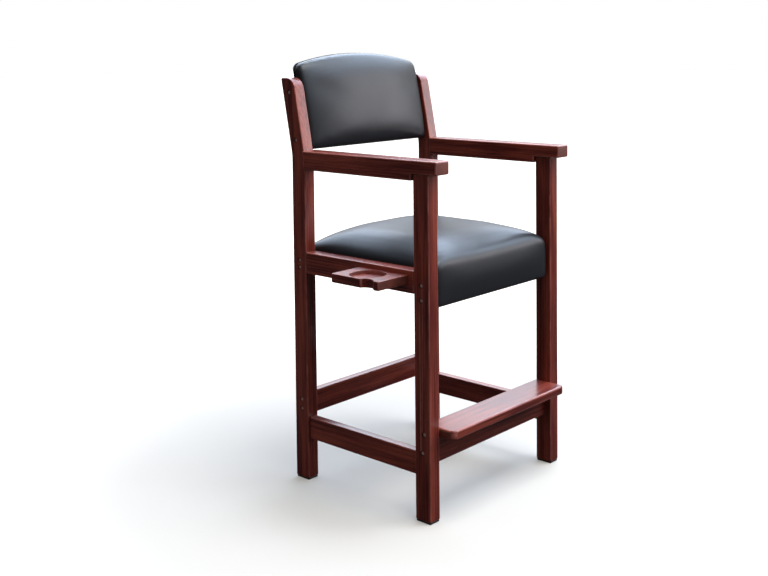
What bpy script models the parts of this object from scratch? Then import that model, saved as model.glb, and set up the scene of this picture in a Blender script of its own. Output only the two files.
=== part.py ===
"""Tall spectator chair for a billiard room.

Two glued side frames of dark stained wood stand left and right. A padded seat box, a padded
back, a rear stretcher and a footrest with its stretcher are bolted between them. A drink tray
with a round recess and a notch for a cue is screwed to the sitter's right seat rail.

Metres, +Z up, the front faces -Y, the sitter's right is -X. Sizes are measured in the chair's
own frame, where x = 0 is the middle of the seat and y = 0 is the front face of the front posts.
"""
import math

import bmesh
import bpy
from mathutils import Matrix, Vector

# Clearances and cuts
touch = 0.0003              # gap that touching pieces keep
overrun = 0.003             # how far a cutter passes the face it opens
arc_steps = 5               # straight runs in a rounded corner

# Side frames
inner_width = 0.508         # between the left and the right posts
post_width = 0.038
post_depth = 0.052
frame_depth = 0.512         # front of the front posts to back of the rear posts
edge_round = 0.003          # eased edges of the posts and rails
foot_height = 0.0045        # plastic glide under each post

# Rear posts, which lean back above the arms
kink_height = 0.932
rake = math.radians(11.0)
kink_round = 0.16
post_top = 1.153            # level top of the raked post
post_top_round = 0.036      # round front corner of the post's top
post_back_round = 0.004

# Armrests
arm_top = 0.948
arm_thickness = 0.054
arm_lip = 0.036             # thickness over the front post and at the front end
arm_side_overhang = 0.0075
arm_front_overhang = 0.033
arm_round = 0.004

# Seat rails and stretchers of the side frames
rail_top = 0.659
rail_height = 0.061
side_stretcher_top = 0.183
side_stretcher_height = 0.063
side_stretcher_thickness = 0.025

# Cross members
rear_stretcher_top = 0.250
rear_stretcher_height = 0.065
rear_stretcher_thickness = 0.025
front_stretcher_bottom = 0.146
front_stretcher_thickness = 0.022
front_stretcher_setback = 0.020
footrest_top = 0.2465
footrest_thickness = 0.025
footrest_overhang = 0.0485
footrest_corner = 0.014
footrest_round = 0.005

# Drink tray
tray_width = 0.112
tray_length = 0.170
tray_front = 0.072          # front edge of the tray behind the front of the posts
tray_thickness = 0.024
tray_drop = 0.0125          # tray top below the rail top
tray_corner = 0.003
tray_round = 0.0015
recess_round = 0.001        # eased rim of the recess
recess_radius = 0.0485
recess_depth = 0.009
recess_outer_wall = 0.005   # wood left between the recess and the outer edge
recess_rear_wall = 0.0335   # wood left between the recess and the rear edge
notch_width = 0.046
notch_depth = 0.014
notch_from_front = 0.041    # middle of the notch behind the tray's front edge

# Seat
seat_front_setback = 0.0065
seat_back_inset = 0.010     # back of the seat in front of the rear posts' back
seat_bottom = 0.561         # lower edge of the padded front
seat_side_bottom = 0.597    # lower edge of the sides and the back
seat_edge_height = 0.661    # top of the padding at its edges
seat_crown_height = 0.724
seat_clearance = 0.0008
seat_side_pull = 0.0012     # how far the sides draw in between the corners
seat_front_pull = 0.004
seat_front_skirt = 0.010
seat_side_skirt = 0.0035
seat_plan_round = 0.012
frame_top = 0.646           # top of the seat box under the deck
frame_bottom_lift = 0.002   # wood above the padding's lower edge
seat_rail_thickness = 0.022
batten_thickness = 0.020
deck_thickness = 0.012
dust_cover_thickness = 0.0012

# Back, measured along the raked posts from the kink
back_bottom = 0.019
back_crown = 0.300          # top of the arch in the middle
back_arch = 0.026           # how far the arch falls towards the corners
back_corner = 0.040
back_clearance = 0.002
back_setback = 0.014        # padding behind the posts' front face at its edges
back_crown_depth = 0.020    # padding forward of the posts' front face in the middle
back_pull = 0.003
back_board_setback = 0.016
back_board_thickness = 0.022
back_skirt = 0.007
back_edge_inset = 0.001     # covered panel inside the padding's outline
arch_shares = (1.0, 0.66, 0.33, 0.0, -0.33, -0.66, -1.0)
outside_back_thickness = 0.005

# Shape of the padding
crown_power = 2.6           # higher is flatter in the middle and rounder at the rim
pull_power = 8
top_share = 0.999           # grid points above this share of the half height are on top
pad_cuts = 11

# Fasteners
bolt_radius = 0.003
bolt_length = 0.086         # under the head
bolt_head_radius = 0.006
bolt_head_height = 0.003
bolt_clearance = 0.0004
pocket_radius = 0.007       # counterbore in the post
pocket_depth = 0.0055
nut_radius = 0.005
nut_length = 0.010
nut_from_end = 0.008        # nut's axis before the bolt's tip
nut_hole_reach = 0.030      # how far the nut's hole runs on to its open end
tenon_length = 0.018
tenon_thickness = 0.012
tenon_shoulder = 0.009      # rail above and below its tenon
post_tenon_height = 0.018
screw_radius = 0.002
screw_head_radius = 0.004
screw_head_height = 0.0025
tray_screw_length = 0.068
tray_screw_spacing = 0.055
round_sides = 10
pocket_sides = 14
recess_sides = 40

# Bolt heights, each pair from top to bottom
seat_front_bolts = (0.623, 0.584)
seat_rear_bolts = (0.634, 0.613)
rear_stretcher_bolt_spacing = 0.026
back_bolts = (0.188, 0.051)  # along the raked posts
footrest_bolt_setback = 0.021
front_stretcher_bolt_setback = 0.0275

# Glides
glide_inset = 0.002

# Worked out from the sizes above
inner_face = inner_width / 2
outer_face = inner_face + post_width
post_middle = inner_face + post_width / 2
rear_post_front = frame_depth - post_depth
rear_post_middle = frame_depth - post_depth / 2
arm_width = post_width + 2 * arm_side_overhang
arm_underside = arm_top - arm_thickness
arm_lip_underside = arm_top - arm_lip
seat_back = frame_depth - seat_back_inset
seat_half_width = inner_face - seat_clearance
seat_frame_front = seat_front_setback + seat_front_skirt + touch
seat_frame_back = seat_back - seat_side_skirt - touch
seat_frame_half = seat_half_width - seat_side_skirt - touch
back_half_width = inner_face - back_clearance
tray_top = rail_top - tray_drop
tray_middle = tray_front + tray_length / 2
footrest_underside = footrest_top - footrest_thickness
seat_front_rail_middle = seat_frame_front + seat_rail_thickness / 2
seat_rear_rail_middle = seat_frame_back - seat_rail_thickness / 2
back_board_middle = back_board_setback + back_board_thickness / 2
back_pad_rear = back_board_setback + back_board_thickness
bolt_start = outer_face - pocket_depth
nut_middle = bolt_start - bolt_length + nut_from_end

# The chair's frame in the world: centred over its whole outline, standing on z = 0
rear_reach = (rear_post_front + (back_crown - back_edge_inset) * math.sin(rake)
              + (back_pad_rear + touch + outside_back_thickness) * math.cos(rake))
centre_x = (tray_width - arm_side_overhang) / 2
centre_y = -(rear_reach - footrest_overhang) / 2

# Directions: an outline drawn flat is stood up so that it faces along X
STAND_UP = Matrix(((0, 0, 1, 0), (1, 0, 0, 0), (0, 1, 0, 0), (0, 0, 0, 1)))
ALONG_X = Matrix.Rotation(math.pi / 2, 4, "Y")
ALONG_Y = Matrix.Rotation(-math.pi / 2, 4, "X")
ALONG_Z = Matrix.Identity(4)
BACKWARD, DOWN = (0, 1, 0), (0, 0, -1)
RIGHT, LEFT = -1, 1
SIDES = (("right", RIGHT), ("left", LEFT))


def clear_scene():
    for thing in list(bpy.data.objects):
        bpy.data.objects.remove(thing, do_unlink=True)


def collection(name):
    made = bpy.data.collections.new(name)
    bpy.context.scene.collection.children.link(made)
    return made


def material(name, colour, roughness, metallic=0.0):
    made = bpy.data.materials.new(name)
    made.use_nodes = True
    shader = made.node_tree.nodes["Principled BSDF"]
    shader.inputs["Base Color"].default_value = (*colour, 1.0)
    shader.inputs["Roughness"].default_value = roughness
    shader.inputs["Metallic"].default_value = metallic
    return made


clear_scene()
CHAIR = collection("billiard_spectator_chair")
CUTTERS = collection("cutters")

stained_wood = material("stained_wood", (0.085, 0.018, 0.014), 0.28)
black_leather = material("black_leather", (0.012, 0.012, 0.014), 0.32)
birch_plywood = material("birch_plywood", (0.55, 0.40, 0.24), 0.7)
frame_lumber = material("frame_lumber", (0.50, 0.34, 0.19), 0.75)
bronzed_steel = material("bronzed_steel", (0.20, 0.13, 0.08), 0.35, 0.9)
zinc_steel = material("zinc_steel", (0.62, 0.62, 0.60), 0.35, 1.0)
black_plastic = material("black_plastic", (0.02, 0.02, 0.02), 0.5)
black_cloth = material("black_cloth", (0.015, 0.015, 0.016), 0.95)

# Empties that carry the pieces: one for the whole chair, one that leans with the raked posts
chair_frame = bpy.data.objects.new("chair_frame", None)
chair_frame.location = (centre_x, centre_y, 0)
CHAIR.objects.link(chair_frame)

raked_frame = bpy.data.objects.new("raked_frame", None)
raked_frame.location = (0, rear_post_front, kink_height)
raked_frame.rotation_euler = (-rake, 0, 0)
raked_frame.parent = chair_frame
CHAIR.objects.link(raked_frame)
bpy.context.view_layer.update()


def place(name, mesh, look, location=(0, 0, 0), turn=None, carrier=chair_frame):
    """Make an object of a mesh, place it on its carrier and give it its material."""
    made = bpy.data.objects.new(name, mesh)
    mesh.materials.clear()
    mesh.materials.append(look)
    made.parent = carrier
    made.matrix_basis = Matrix.Translation(location) @ (turn or Matrix.Identity(4))
    CHAIR.objects.link(made)
    bpy.context.view_layer.update()
    return made


def ease(piece, width, segments=2):
    """Round every sharp edge of a piece."""
    bevel = piece.modifiers.new("eased_edges", "BEVEL")
    bevel.width = width
    bevel.segments = segments
    bevel.limit_method = "ANGLE"
    bevel.angle_limit = math.radians(50)
    return bevel


def cut(piece, cutter):
    """Take a cutter's shape out of a piece."""
    hole = piece.modifiers.new(cutter.name, "BOOLEAN")
    hole.operation = "DIFFERENCE"
    hole.object = cutter


def cutter(name, mesh, carrier=chair_frame):
    made = bpy.data.objects.new(name, mesh)
    made.parent = carrier
    made.hide_render = True
    made.display_type = "WIRE"
    CUTTERS.objects.link(made)
    bpy.context.view_layer.update()
    return made


def box_mesh(name, low, high):
    """A box between two corners, centred on its own origin, and its place."""
    size = Vector(high) - Vector(low)
    bm = bmesh.new()
    bmesh.ops.create_cube(bm, size=1.0)
    bmesh.ops.scale(bm, vec=size, verts=bm.verts)
    mesh = bpy.data.meshes.new(name)
    bm.to_mesh(mesh)
    bm.free()
    return mesh, (Vector(low) + Vector(high)) / 2


def board(name, low, high, look, round_edges=0.0, carrier=chair_frame, segments=2):
    """A straight sawn board, given by its lowest and highest corners."""
    mesh, middle = box_mesh(name, low, high)
    made = place(name, mesh, look, middle, carrier=carrier)
    if round_edges:
        ease(made, round_edges, segments)
    return made


def box_helper(name, low, high, carrier=chair_frame):
    """A box that cuts or joins, given by its lowest and highest corners."""
    mesh, middle = box_mesh(name, low, high)
    made = cutter(name, mesh, carrier)
    made.location = middle
    bpy.context.view_layer.update()
    return made


def tenon(name, piece, host, low, high, root):
    """A tongue on one piece and the mortise for it in another.

    root is how far the tongue runs back into its own piece.
    """
    low, high, root = Vector(low), Vector(high), Vector(root)
    grown_low = Vector(map(min, low, low + root))
    grown_high = Vector(map(max, high, high + root))
    tongue = piece.modifiers.new(name, "BOOLEAN")
    tongue.operation = "UNION"
    tongue.object = box_helper(name, grown_low, grown_high)
    around = Vector((touch, touch, touch))
    cut(host, box_helper(name + "_mortise", low - around, high + around))


def mirrored(side, near, far):
    """Lowest and highest x of a piece that lies between two distances on one side."""
    return (side * near, side * far) if side > 0 else (side * far, side * near)


def rounded(corners, steps=arc_steps):
    """Points of a closed outline whose corners (a, b, radius) are rounded with arcs."""
    points = []
    count = len(corners)
    for index, (a, b, radius) in enumerate(corners):
        here = Vector((a, b))
        if not radius:
            points.append(here)
            continue
        before = (Vector(corners[index - 1][:2]) - here).normalized()
        after = (Vector(corners[(index + 1) % count][:2]) - here).normalized()
        half = before.angle(after) / 2
        centre = here + (before + after).normalized() * (radius / math.sin(half))
        start = here + before * (radius / math.tan(half)) - centre
        end = here + after * (radius / math.tan(half)) - centre
        sweep = start.angle(end)
        turn = math.copysign(1.0, start.x * end.y - start.y * end.x)
        for step in range(steps + 1):
            angle = turn * sweep * step / steps
            points.append(centre + Vector((start.x * math.cos(angle) - start.y * math.sin(angle),
                                           start.x * math.sin(angle) + start.y * math.cos(angle))))
    return points


def slab(name, outline, thickness):
    """A flat outline given its thickness, as a welded mesh centred on its plane."""
    curve = bpy.data.curves.new(name, "CURVE")
    curve.dimensions = "2D"
    curve.fill_mode = "BOTH"
    curve.extrude = thickness / 2
    line = curve.splines.new("POLY")
    line.points.add(len(outline) - 1)
    for point, place_2d in zip(line.points, outline):
        point.co = (place_2d.x, place_2d.y, 0, 1)
    line.use_cyclic_u = True
    drawn = bpy.data.objects.new(name, curve)
    CUTTERS.objects.link(drawn)
    bpy.context.view_layer.update()
    graph = bpy.context.evaluated_depsgraph_get()
    mesh = bpy.data.meshes.new_from_object(drawn.evaluated_get(graph))
    bpy.data.objects.remove(drawn, do_unlink=True)
    bpy.data.curves.remove(curve)
    bm = bmesh.new()
    bm.from_mesh(mesh)
    bmesh.ops.remove_doubles(bm, verts=bm.verts, dist=touch / 10)
    bmesh.ops.dissolve_limit(bm, angle_limit=math.radians(1), verts=bm.verts, edges=bm.edges)
    bmesh.ops.recalc_face_normals(bm, faces=bm.faces)
    bm.to_mesh(mesh)
    bm.free()
    mesh.name = name
    return mesh


def cylinders(name, places, radius, length, sides, towards):
    """Equal cylinders at several middles, as one mesh of separate bodies."""
    bm = bmesh.new()
    for middle in places:
        bmesh.ops.create_cone(bm, cap_ends=True, segments=sides, radius1=radius, radius2=radius,
                              depth=length, matrix=Matrix.Translation(middle) @ towards)
    mesh = bpy.data.meshes.new(name)
    bm.to_mesh(mesh)
    bm.free()
    return mesh


def turned(name, profile, sides):
    """A turned piece: a profile of (radius, height), top to bottom, swept round Z."""
    mesh = bpy.data.meshes.new(name)
    mesh.from_pydata([(radius, 0, height) for radius, height in profile],
                     [(i, i + 1) for i in range(len(profile) - 1)], [])
    drawn = bpy.data.objects.new(name, mesh)
    CUTTERS.objects.link(drawn)
    screw = drawn.modifiers.new("turn", "SCREW")
    screw.steps = sides
    screw.render_steps = sides
    screw.use_merge_vertices = True
    screw.merge_threshold = touch / 10
    bpy.context.view_layer.update()
    graph = bpy.context.evaluated_depsgraph_get()
    made = bpy.data.meshes.new_from_object(drawn.evaluated_get(graph))
    bpy.data.objects.remove(drawn, do_unlink=True)
    bm = bmesh.new()
    bm.from_mesh(made)
    bmesh.ops.recalc_face_normals(bm, faces=bm.faces)
    bm.to_mesh(made)
    bm.free()
    return made


# Bolted joints: each bolt runs in along X from a pocket in a post's outer face
bolt_mesh = turned("bolt", ((0, bolt_head_height), (bolt_head_radius, bolt_head_height),
                            (bolt_head_radius, 0), (bolt_radius, 0),
                            (bolt_radius, -bolt_length), (0, -bolt_length)), round_sides)


nut_mesh = cylinders("nut", ((0, 0, 0),), nut_radius, nut_length, round_sides, ALONG_Z)


class Joint:
    """Bolts at some heights and one depth, on both sides.

    They thread into a board's end or, where nut_turn is given, into a barrel nut across them,
    which went in from the side that nut_open points to.
    """

    def __init__(self, name, depth, heights, nut_turn=None, nut_open=None, carrier=chair_frame):
        points = [(label, side, number, depth, height) for label, side in SIDES
                  for number, height in enumerate(heights, 1)]
        for label, side, number, y, z in points:
            place(f"{label}_{name}_bolt_{number}", bolt_mesh, bronzed_steel, (side * bolt_start, y, z),
                  Matrix.Rotation(side * math.pi / 2, 4, "Y"), carrier)
        hole_length = bolt_length + pocket_depth
        hole_middle = bolt_start - bolt_length / 2 + pocket_depth / 2 - 2 * touch
        self.holes = cutter(name + "_bolt_holes",
                            cylinders(name + "_bolt_holes",
                                      [(side * hole_middle, y, z) for _, side, _, y, z in points],
                                      bolt_radius + bolt_clearance, hole_length, round_sides, ALONG_X),
                            carrier)
        pocket_middle = outer_face - (pocket_depth - overrun) / 2 + touch / 2
        self.pockets = cutter(name + "_pockets",
                              cylinders(name + "_pockets",
                                        [(side * pocket_middle, y, z) for _, side, _, y, z in points],
                                        pocket_radius, pocket_depth + overrun + touch, pocket_sides,
                                        ALONG_X), carrier)
        self.nut_holes = None
        if nut_turn is None:
            return
        middles = [(side * nut_middle, y, z) for _, side, _, y, z in points]
        for (label, _, number, _, _), middle in zip(points, middles):
            nut = place(f"{label}_{name}_nut_{number}", nut_mesh, zinc_steel, middle, nut_turn, carrier)
            cut(nut, self.holes)
        open_middles = [Vector(middle) + Vector(nut_open) * nut_hole_reach / 2 for middle in middles]
        self.nut_holes = cutter(name + "_nut_holes",
                                cylinders(name + "_nut_holes", open_middles, nut_radius + touch,
                                          nut_length + 2 * touch + nut_hole_reach, round_sides, nut_turn),
                                carrier)

    def open_post(self, post):
        cut(post, self.pockets)
        cut(post, self.holes)

    def open_member(self, member):
        cut(member, self.holes)
        if self.nut_holes:
            cut(member, self.nut_holes)


rear_stretcher_middle = rear_stretcher_top - rear_stretcher_height / 2
front_stretcher_bolt = (front_stretcher_bottom + footrest_underside) / 2
footrest_bolt = footrest_top - footrest_thickness / 2
seat_front_joint = Joint("seat_front", seat_front_rail_middle, seat_front_bolts)
seat_rear_joint = Joint("seat_rear", seat_rear_rail_middle, seat_rear_bolts)
rear_stretcher_joint = Joint("rear_stretcher", rear_post_middle,
                             (rear_stretcher_middle + rear_stretcher_bolt_spacing / 2,
                              rear_stretcher_middle - rear_stretcher_bolt_spacing / 2),
                             ALONG_Y, BACKWARD)
front_stretcher_joint = Joint("front_stretcher", front_stretcher_bolt_setback,
                              (front_stretcher_bolt,), ALONG_Y, BACKWARD)
footrest_joint = Joint("footrest", footrest_bolt_setback, (footrest_bolt,), ALONG_Z, DOWN)
back_joint = Joint("back", back_board_middle, back_bolts, carrier=raked_frame)


# Side frames, joined with mortises and tenons
def front_post(label, side):
    low_x, high_x = mirrored(side, inner_face, outer_face)
    post = board(label + "_front_post", (low_x, 0, foot_height + touch),
                 (high_x, post_depth, arm_lip_underside - touch), stained_wood, edge_round)
    for joint in (seat_front_joint, front_stretcher_joint, footrest_joint):
        joint.open_post(post)
    return post


def rear_post(label, side):
    """A post sawn from the plank: straight up to the arm, then leaning back."""
    lean = math.tan(rake)
    rise = post_top - kink_height
    front_kink = kink_height - post_depth * math.tan(rake / 2) / 2
    back_kink = kink_height + post_depth * math.tan(rake / 2) / 2
    outline = rounded((
        (rear_post_front, foot_height + touch, 0),
        (frame_depth, foot_height + touch, 0),
        (frame_depth, back_kink, kink_round),
        (frame_depth + rise * lean, post_top, post_back_round),
        (rear_post_front + rise * lean, post_top, post_top_round),
        (rear_post_front, front_kink, kink_round),
    ))
    post = place(label + "_rear_post", slab(label + "_rear_post", outline, post_width), stained_wood,
                 (side * post_middle, 0, 0), STAND_UP)
    ease(post, edge_round)
    for joint in (seat_rear_joint, rear_stretcher_joint, back_joint):
        joint.open_post(post)
    return post


def armrest(label, side):
    """A thick arm, notched over the front post and butted against the rear post."""
    lean = (arm_top - kink_height) * math.tan(rake)
    outline = rounded((
        (-arm_front_overhang, arm_lip_underside, arm_round),
        (post_depth + touch, arm_lip_underside, 0),
        (post_depth + touch, arm_underside, 0),
        (rear_post_front - touch, arm_underside, 0),
        (rear_post_front - touch, kink_height, 0),
        (rear_post_front - touch + lean, arm_top, 0),
        (-arm_front_overhang, arm_top, arm_round),
    ), 3)
    arm = place(label + "_armrest", slab(label + "_armrest", outline, arm_width), stained_wood,
                (side * post_middle, 0, 0), STAND_UP)
    ease(arm, arm_round)
    return arm


def seat_rail(label, side):
    low_x, high_x = mirrored(side, inner_face, outer_face)
    rail = board(label + "_seat_rail", (low_x, post_depth + touch, rail_top - rail_height),
                 (high_x, rear_post_front - touch, rail_top), stained_wood, edge_round)
    return rail


def side_stretcher(label, side):
    low_x, high_x = mirrored(side, post_middle - side_stretcher_thickness / 2,
                             post_middle + side_stretcher_thickness / 2)
    stretcher = board(label + "_side_stretcher",
                      (low_x, post_depth + touch, side_stretcher_top - side_stretcher_height),
                      (high_x, rear_post_front - touch, side_stretcher_top), stained_wood, edge_round)
    return stretcher


def glide(label, side, rear):
    """A plastic pad under a post."""
    front = rear_post_front if rear else 0
    low_x, high_x = mirrored(side, inner_face + glide_inset, outer_face - glide_inset)
    return board(label + ("_rear_glide" if rear else "_front_glide"), (low_x, front + glide_inset, 0),
                 (high_x, front + post_depth - glide_inset, foot_height), black_plastic)


def end_tenons(rail, front, rear, side, top, height):
    """Tenons on both ends of a rail, into the front post and into the rear post."""
    low_x, high_x = mirrored(side, post_middle - tenon_thickness / 2, post_middle + tenon_thickness / 2)
    low_z, high_z = top - height + tenon_shoulder, top - tenon_shoulder
    tenon(rail.name + "_front_tenon", rail, front, (low_x, post_depth - tenon_length, low_z),
          (high_x, post_depth, high_z), (0, tenon_length, 0))
    tenon(rail.name + "_rear_tenon", rail, rear, (low_x, rear_post_front, low_z),
          (high_x, rear_post_front + tenon_length, high_z), (0, -tenon_length, 0))


def arm_tenons(arm, front, rear, side):
    """A tenon from the arm into the rear post, and one from the front post up into the arm."""
    low_x, high_x = mirrored(side, post_middle - tenon_thickness / 2, post_middle + tenon_thickness / 2)
    tenon(arm.name + "_rear_tenon", arm, rear,
          (low_x, rear_post_front, arm_underside + tenon_shoulder),
          (high_x, rear_post_front + tenon_length, kink_height - tenon_shoulder), (0, -tenon_length, 0))
    tenon(front.name + "_top_tenon", front, arm, (low_x, tenon_shoulder, arm_lip_underside),
          (high_x, post_depth - tenon_shoulder, arm_lip_underside + post_tenon_height),
          (0, 0, -post_tenon_height))


rails = {}
for label, side in SIDES:
    front, rear = front_post(label, side), rear_post(label, side)
    rails[label] = seat_rail(label, side)
    end_tenons(rails[label], front, rear, side, rail_top, rail_height)
    end_tenons(side_stretcher(label, side), front, rear, side, side_stretcher_top, side_stretcher_height)
    arm_tenons(armrest(label, side), front, rear, side)
    glide(label, side, False)
    glide(label, side, True)


# Cross members between the side frames
def rear_stretcher():
    made = board("rear_stretcher",
                 (-inner_face + touch, rear_post_middle - rear_stretcher_thickness / 2,
                  rear_stretcher_top - rear_stretcher_height),
                 (inner_face - touch, rear_post_middle + rear_stretcher_thickness / 2, rear_stretcher_top),
                 stained_wood, edge_round)
    rear_stretcher_joint.open_member(made)


def front_stretcher():
    made = board("front_stretcher", (-inner_face + touch, front_stretcher_setback, front_stretcher_bottom),
                 (inner_face - touch, front_stretcher_setback + front_stretcher_thickness,
                  footrest_underside - touch), stained_wood, edge_round)
    front_stretcher_joint.open_member(made)


def footrest_board():
    half = inner_face - touch
    outline = rounded((
        (-half, -footrest_overhang, footrest_corner),
        (half, -footrest_overhang, footrest_corner),
        (half, post_depth, 0),
        (-half, post_depth, 0),
    ))
    made = place("footrest_board", slab("footrest_board", outline, footrest_thickness), stained_wood,
                 (0, 0, footrest_top - footrest_thickness / 2))
    ease(made, footrest_round)
    footrest_joint.open_member(made)


rear_stretcher()
front_stretcher()
footrest_board()


# Drink tray on the sitter's right seat rail
def drink_tray():
    """A wooden shelf with a round recess and an arc cut into its outer edge for a cue."""
    outer = -outer_face - tray_width
    notch_middle = tray_front + notch_from_front
    notch_radius = ((notch_width / 2) ** 2 + notch_depth ** 2) / (2 * notch_depth)
    notch_centre = outer + notch_depth - notch_radius
    reach = math.asin(notch_width / 2 / notch_radius)
    notch_steps = 2 * arc_steps
    arc = [(notch_centre + notch_radius * math.cos(angle), notch_middle + notch_radius * math.sin(angle), 0)
           for angle in (reach - 2 * reach * step / notch_steps for step in range(notch_steps + 1))]
    inner = -outer_face - touch
    outline = rounded([
        (inner, tray_front, 0),
        (inner, tray_front + tray_length, 0),
        (outer, tray_front + tray_length, tray_corner),
    ] + arc + [
        (outer, tray_front, tray_corner),
    ], 2)
    tray = place("drink_tray", slab("drink_tray", outline, tray_thickness), stained_wood,
                 (0, 0, tray_top - tray_thickness / 2))
    ease(tray, tray_round, 1)
    rim = recess_radius + recess_round
    recess = cutter("recess", turned("recess", ((0, overrun), (rim + overrun, overrun),
                                                (recess_radius, -recess_round),
                                                (recess_radius, -recess_depth), (0, -recess_depth)),
                                     recess_sides))
    recess.location = (outer + recess_outer_wall + recess_radius,
                       tray_front + tray_length - recess_rear_wall - recess_radius, tray_top)
    bpy.context.view_layer.update()
    cut(tray, recess)
    return tray


def wood_screw(name, length):
    """A countersunk screw, its head on top and its point down."""
    return turned(name, ((0, 0), (screw_head_radius, 0), (screw_radius, -screw_head_height),
                         (screw_radius, -length + 2 * screw_radius), (0, -length)), round_sides)


def tray_screws(tray, rail):
    """Screws through the seat rail from the inside into the tray's edge."""
    height = tray_top - tray_thickness / 2
    seats = [(-inner_face - touch, tray_middle + shift, height)
             for shift in (-tray_screw_spacing, 0, tray_screw_spacing)]
    mesh = wood_screw("tray_screw", tray_screw_length)
    for number, seat in enumerate(seats, 1):
        place(f"tray_screw_{number}", mesh, zinc_steel, seat, Matrix.Rotation(math.pi / 2, 4, "Y"))
    room = cutter("tray_screw_holes", cylinders(
        "tray_screw_holes", [(x - tray_screw_length / 2 - touch, y, z) for x, y, z in seats],
        screw_radius + touch, tray_screw_length + 2 * touch, round_sides, ALONG_X))
    sinks = cutter("tray_screw_sinks", cylinders(
        "tray_screw_sinks", [(x - (screw_head_height - overrun) / 2, y, z) for x, y, z in seats],
        screw_head_radius + touch, screw_head_height + overrun + 2 * touch, round_sides, ALONG_X))
    for piece in (rail, tray):
        cut(piece, room)
    cut(rail, sinks)


tray_screws(drink_tray(), rails["right"])


# Seat box: a frame of boards, a plywood deck and a thin cloth underneath
def seat_box():
    low = seat_side_bottom + frame_bottom_lift
    top = frame_top - touch
    front_rail = board("seat_front_rail",
                       (-seat_frame_half, seat_frame_front, seat_bottom + frame_bottom_lift),
                       (seat_frame_half, seat_frame_front + seat_rail_thickness, top), frame_lumber)
    rear_rail = board("seat_rear_rail", (-seat_frame_half, seat_frame_back - seat_rail_thickness, low),
                      (seat_frame_half, seat_frame_back, top), frame_lumber)
    seat_front_joint.open_member(front_rail)
    seat_rear_joint.open_member(rear_rail)
    for label, side in SIDES:
        low_x, high_x = mirrored(side, seat_frame_half - batten_thickness, seat_frame_half)
        batten = board(label + "_seat_batten",
                       (low_x, seat_frame_front + seat_rail_thickness + touch, low),
                       (high_x, seat_frame_back - seat_rail_thickness - touch, top), frame_lumber)
        cut(batten, seat_front_joint.holes)
        cut(batten, seat_rear_joint.holes)
    board("seat_deck", (-seat_frame_half, seat_frame_front, frame_top),
          (seat_frame_half, seat_frame_back, frame_top + deck_thickness), birch_plywood)
    board("seat_dust_cover",
          (-seat_frame_half, seat_frame_front + seat_rail_thickness + touch,
           low - touch - dust_cover_thickness),
          (seat_frame_half, seat_frame_back, low - touch), black_cloth)


seat_box()


# Padding
def padded_block(name, shape, cuts):
    """A soft block: a cube cut into a grid, each corner of the grid moved by a shape rule."""
    bm = bmesh.new()
    bmesh.ops.create_cube(bm, size=2.0)
    bmesh.ops.subdivide_edges(bm, edges=bm.edges, cuts=cuts, use_grid_fill=True)
    for vert in bm.verts:
        vert.co = shape(*vert.co)
    bmesh.ops.recalc_face_normals(bm, faces=bm.faces)
    mesh = bpy.data.meshes.new(name)
    bm.to_mesh(mesh)
    bm.free()
    return mesh


def crowned(u, v, w, half, low, high, base, edge, crown, low_corner, high_corner, side_pull, low_pull):
    """Across, along and up for a grid point (u, v, w) of a crowned pad."""
    a, b = math.sin(u * math.pi / 2), math.sin(v * math.pi / 2)
    across, along = half * a, low + (high - low) * (b + 1) / 2
    if w > top_share:
        swell = (1 - abs(a) ** crown_power) * (1 - abs(b) ** crown_power)
        up = edge + (crown - edge) * swell ** (1 / crown_power)
    else:
        up = base + (edge - base) * (w + 1) / 2
    corner = low_corner if b < 0 else high_corner
    middle_x = min(max(across, -half + corner), half - corner)
    middle_y = min(max(along, low + low_corner), high - high_corner)
    off = Vector((across - middle_x, along - middle_y))
    if off.x and off.y:
        off *= max(abs(off.x), abs(off.y)) / off.length
    across, along = middle_x + off.x, middle_y + off.y
    across -= math.copysign(side_pull * (1 - b ** 2) * abs(a) ** pull_power, a)
    pull = low_pull if b < 0 else side_pull
    along -= math.copysign(pull * (1 - a ** 2) * abs(b) ** pull_power, b)
    return across, along, up


def seat_shape(u, v, w):
    return Vector(crowned(u, v, w, seat_half_width, seat_front_setback, seat_back, seat_bottom,
                          seat_edge_height, seat_crown_height, seat_plan_round, 0,
                          seat_side_pull, seat_front_pull))


def back_shape(u, v, w):
    across, along, up = crowned(u, v, w, back_half_width, back_bottom, back_crown, -back_pad_rear,
                                -back_setback, back_crown_depth, 0, back_corner, back_pull, back_pull)
    arched = (along - back_bottom) / (back_crown - back_bottom)
    return Vector((across, -up, along - back_arch * (across / back_half_width) ** 2 * arched))


def seat_cushion():
    """Foam and its cover: crowned over the deck, wrapped down over the seat box."""
    cushion = place("seat_cushion", padded_block("seat_cushion", seat_shape, pad_cuts), black_leather)
    cut(cushion, box_helper("seat_room",
                            (-seat_frame_half - touch, seat_frame_front - touch, seat_bottom - overrun),
                            (seat_frame_half + touch, seat_frame_back + touch,
                             frame_top + deck_thickness + touch)))
    cut(cushion, box_helper("seat_skirt_cut",
                            (-inner_face - overrun, seat_frame_front + seat_rail_thickness,
                             seat_bottom - overrun),
                            (inner_face + overrun, seat_back + overrun, seat_side_bottom)))
    cut(cushion, seat_front_joint.holes)
    cut(cushion, seat_rear_joint.holes)
    cushion.data.shade_smooth()


def back_outline(inset):
    """The back's arched outline, drawn in from the padding's edge."""
    half = back_half_width - inset
    low = back_bottom + inset
    high = back_crown - inset
    round_top = back_corner - inset
    arch = [(share * (half - round_top), high - back_arch * (share * (half - round_top) / half) ** 2, 0)
            for share in arch_shares]
    shoulder = high - back_arch
    return rounded([(-half, low, 0), (half, low, 0), (half, shoulder, round_top)] + arch
                   + [(-half, shoulder, round_top)])


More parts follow.
